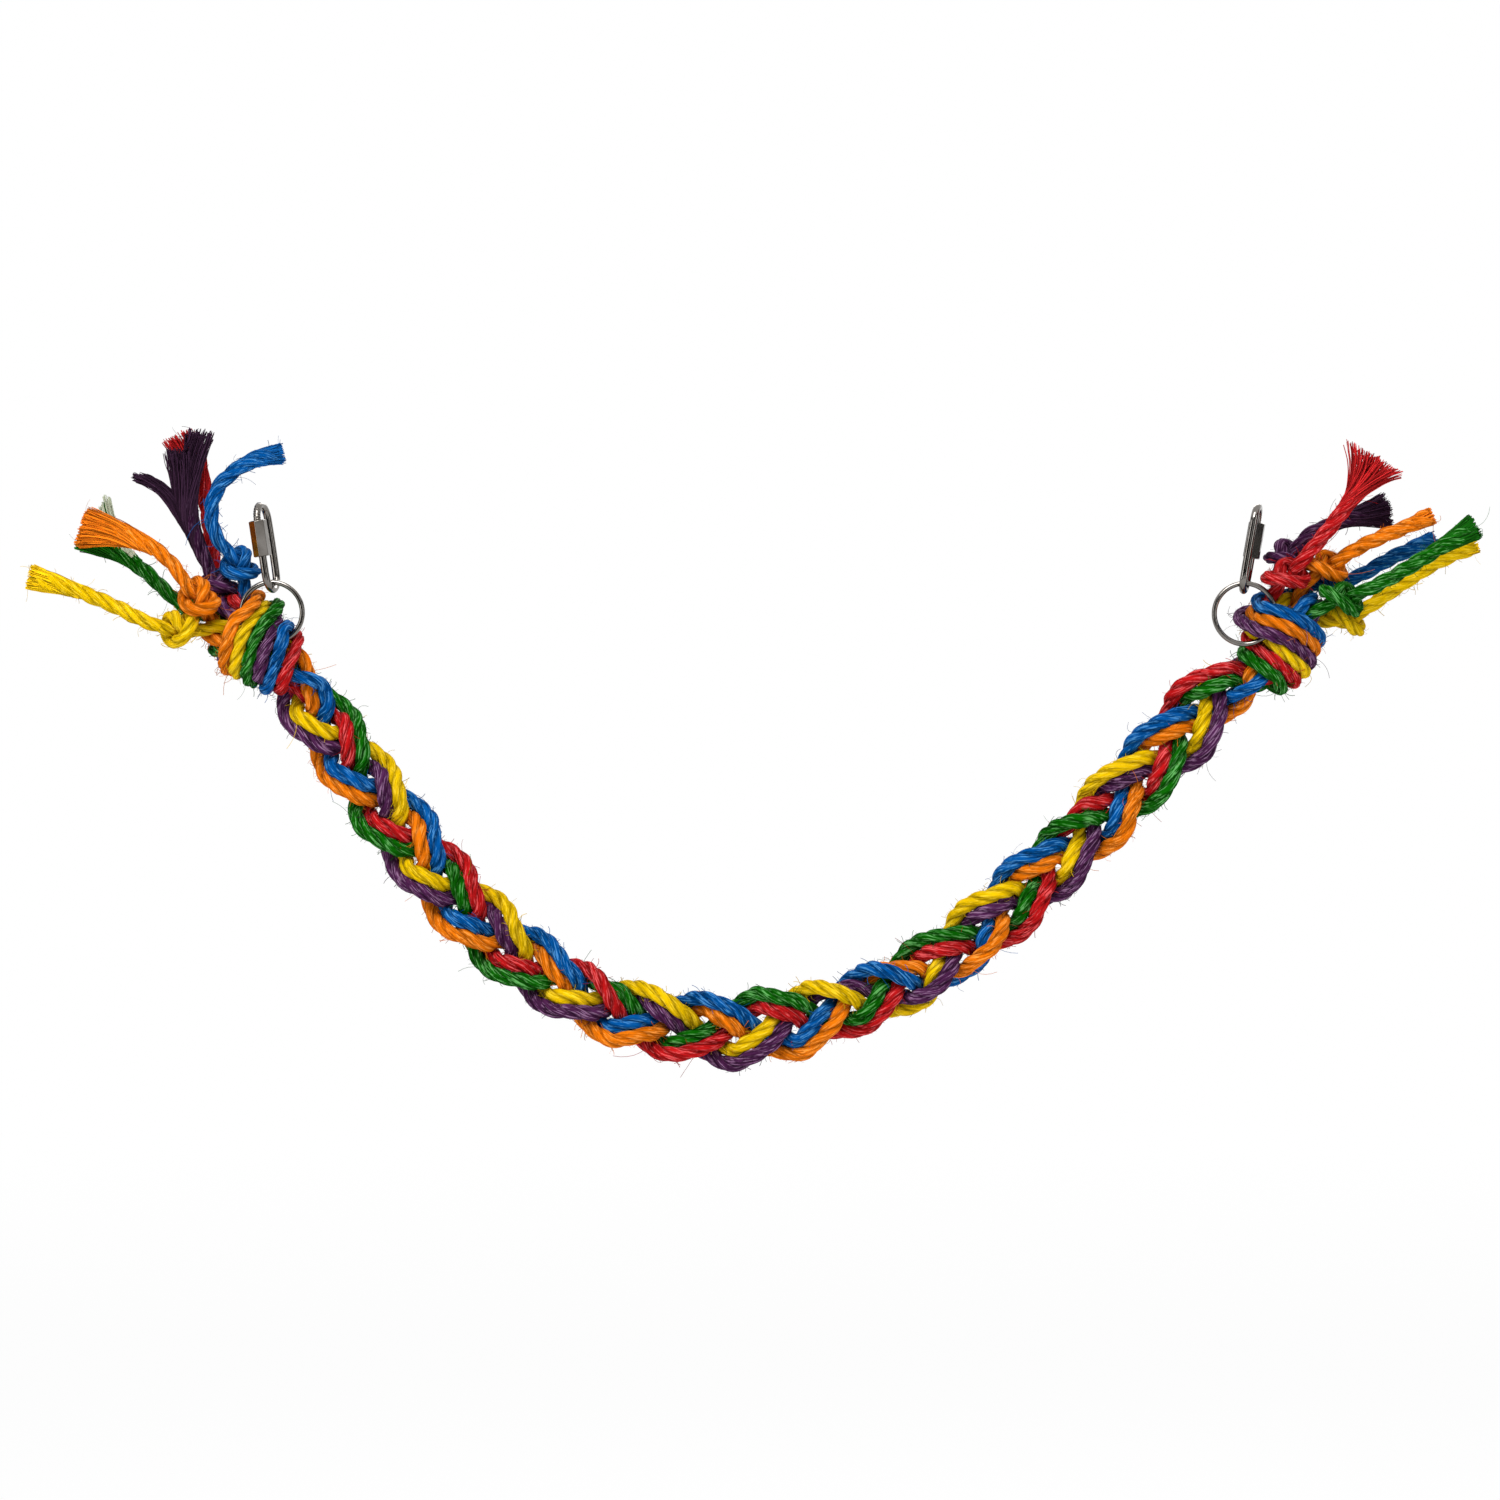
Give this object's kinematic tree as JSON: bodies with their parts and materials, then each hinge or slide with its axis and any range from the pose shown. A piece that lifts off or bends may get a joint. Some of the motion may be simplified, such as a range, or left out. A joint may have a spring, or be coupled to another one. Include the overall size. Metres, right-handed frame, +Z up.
{
  "type": "bird rope bridge",
  "caption": "Plaited bridge of dyed sisal ropes for a bird cage; the ropes end in a knot round a steel ring, stopper knots and frayed tails, and hang on a quick link at each end.",
  "frame": {"origin": "midway between the two places at the tops of the quick links where the cage bars carry the bridge", "axes": "+X along the bridge from the left end to the right end, +Y away from the viewer, +Z up"},
  "size_m": [0.6608, 0.0567, 0.291],
  "materials": {
    "sisal_yellow": "yellow dyed sisal, matt and hairy",
    "sisal_purple": "purple dyed sisal, matt and hairy",
    "sisal_blue": "blue dyed sisal, matt and hairy",
    "sisal_orange": "orange dyed sisal, matt and hairy",
    "sisal_green": "green dyed sisal, matt and hairy",
    "sisal_red": "red dyed sisal, matt and hairy",
    "plated_steel": "bright zinc plate"
  },
  "bodies": {
    "ropes": {"rope_yellow": "sisal_yellow", "left_tail_yellow": "sisal_yellow", "right_tail_yellow": "sisal_yellow", "rope_purple": "sisal_purple", "left_tail_purple": "sisal_purple", "right_tail_purple": "sisal_purple", "rope_blue": "sisal_blue", "left_tail_blue": "sisal_blue", "right_tail_blue": "sisal_blue", "rope_orange": "sisal_orange", "left_tail_orange": "sisal_orange", "right_tail_orange": "sisal_orange", "rope_green": "sisal_green", "left_tail_green": "sisal_green", "right_tail_green": "sisal_green", "rope_red": "sisal_red", "left_tail_red": "sisal_red", "right_tail_red": "sisal_red"},
    "left_ring": {"left_ring": "plated_steel"},
    "left_link": {"left_quick_link": "plated_steel"},
    "left_nut": {"left_sleeve_nut": "plated_steel"},
    "right_ring": {"right_ring": "plated_steel"},
    "right_link": {"right_quick_link": "plated_steel"},
    "right_nut": {"right_sleeve_nut": "plated_steel"}
  },
  "joints": [
    {"name": "left_ring_rock", "type": "hinge", "parent": "ropes", "child": "left_ring", "pos_m": [-0.22881, 0, -0.05811], "axis": [-0.8336, 0, 0.5524], "range_deg": [-10, 10]},
    {"name": "left_link_swing", "type": "hinge", "parent": "left_ring", "child": "left_link", "pos_m": [-0.22118, 0, -0.03281], "axis": [1, 0, 0], "range_deg": [-60, 60]},
    {"name": "left_nut_slide", "type": "slide", "parent": "left_link", "child": "left_nut", "axis": [0.1478, 0, -0.989], "range_m": [0, 0.0085]},
    {"name": "right_ring_rock", "type": "hinge", "parent": "ropes", "child": "right_ring", "pos_m": [0.23405, 0, -0.04849], "axis": [0.1, 0, 0.995], "range_deg": [-10, 10]},
    {"name": "right_link_swing", "type": "hinge", "parent": "right_ring", "child": "right_link", "pos_m": [0.22032, 0, -0.03331], "axis": [1, 0, 0], "range_deg": [-60, 60]},
    {"name": "right_nut_slide", "type": "slide", "parent": "right_link", "child": "right_nut", "axis": [-0.1736, 0, -0.9848], "range_m": [0, 0.0085]}
  ]
}
